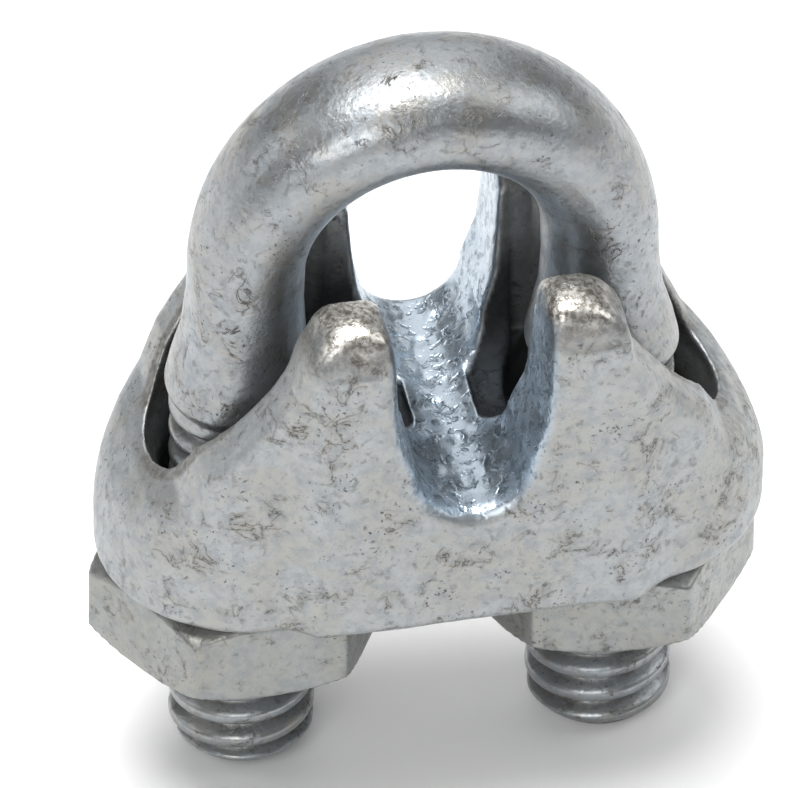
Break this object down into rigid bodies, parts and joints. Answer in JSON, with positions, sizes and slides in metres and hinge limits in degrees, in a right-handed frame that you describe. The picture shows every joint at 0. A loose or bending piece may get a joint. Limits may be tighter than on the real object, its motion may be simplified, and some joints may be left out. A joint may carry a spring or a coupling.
{
  "type": "wire rope clip",
  "caption": "U-bolt wire rope clip: a flattened U-bolt passes through a horned cast saddle and is drawn down by hex nuts to grip rope in the groove.",
  "frame": {"origin": "on the axis of the rope seat, midway through the saddle along the rope", "axes": "+Y along the rope, +X towards the right leg, +Z from the saddle towards the arch of the U-bolt"},
  "size_m": [0.0239, 0.0122, 0.0296],
  "materials": {
    "plated_bolt": "zinc plated, satin with fine scratches",
    "plated_casting": "zinc plated malleable iron, dimpled and mottled",
    "plated_nut": "zinc plated, satin"
  },
  "bodies": {
    "saddle": {"saddle": "plated_casting"},
    "u_bolt": {"u_bolt": "plated_bolt"},
    "nut_left": {"nut_left": "plated_nut"},
    "nut_right": {"nut_right": "plated_nut"}
  },
  "joints": [
    {"name": "u_bolt_draw", "type": "slide", "parent": "saddle", "child": "u_bolt", "axis": [0, 0, -1], "range_m": [-0.00529, 0.00634]},
    {"name": "nut_left_spin", "type": "hinge", "parent": "saddle", "child": "nut_left", "pos_m": [-0.0067, 0, -0.0086], "axis": [0, 0, 1], "range_deg": [-1800, 2160]},
    {"name": "nut_right_spin", "type": "hinge", "parent": "saddle", "child": "nut_right", "pos_m": [0.006, 0, -0.0086], "axis": [0, 0, 1], "range_deg": [-1800, 2160]}
  ],
  "couplings": [
    {"joint": "nut_left_spin", "follows": "u_bolt_draw", "rad_per_m": 5936.9},
    {"joint": "nut_right_spin", "follows": "u_bolt_draw", "rad_per_m": 5936.9}
  ]
}
